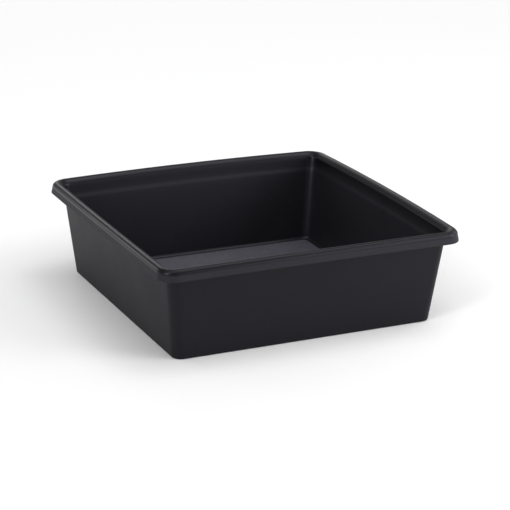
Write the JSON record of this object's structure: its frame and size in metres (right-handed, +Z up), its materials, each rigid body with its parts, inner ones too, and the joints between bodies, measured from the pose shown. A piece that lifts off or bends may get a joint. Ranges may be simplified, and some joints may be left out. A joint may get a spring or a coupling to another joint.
{
  "type": "mortar mixing tub",
  "caption": "Square, shallow plastic tub with tapered walls, an open top and a rolled rim with a hanging skirt, for mixing and carrying mortar.",
  "frame": {"origin": "centre of the underside, on the ground", "axes": "+Z up through the open top; X and Y along the tub's two equal sides"},
  "size_m": [0.6, 0.6, 0.183],
  "materials": {
    "tub_plastic": "moulded black polypropylene, fine spark-textured satin, grainier on the floor"
  },
  "bodies": {
    "root": {"tub": "tub_plastic"}
  },
  "joints": []
}
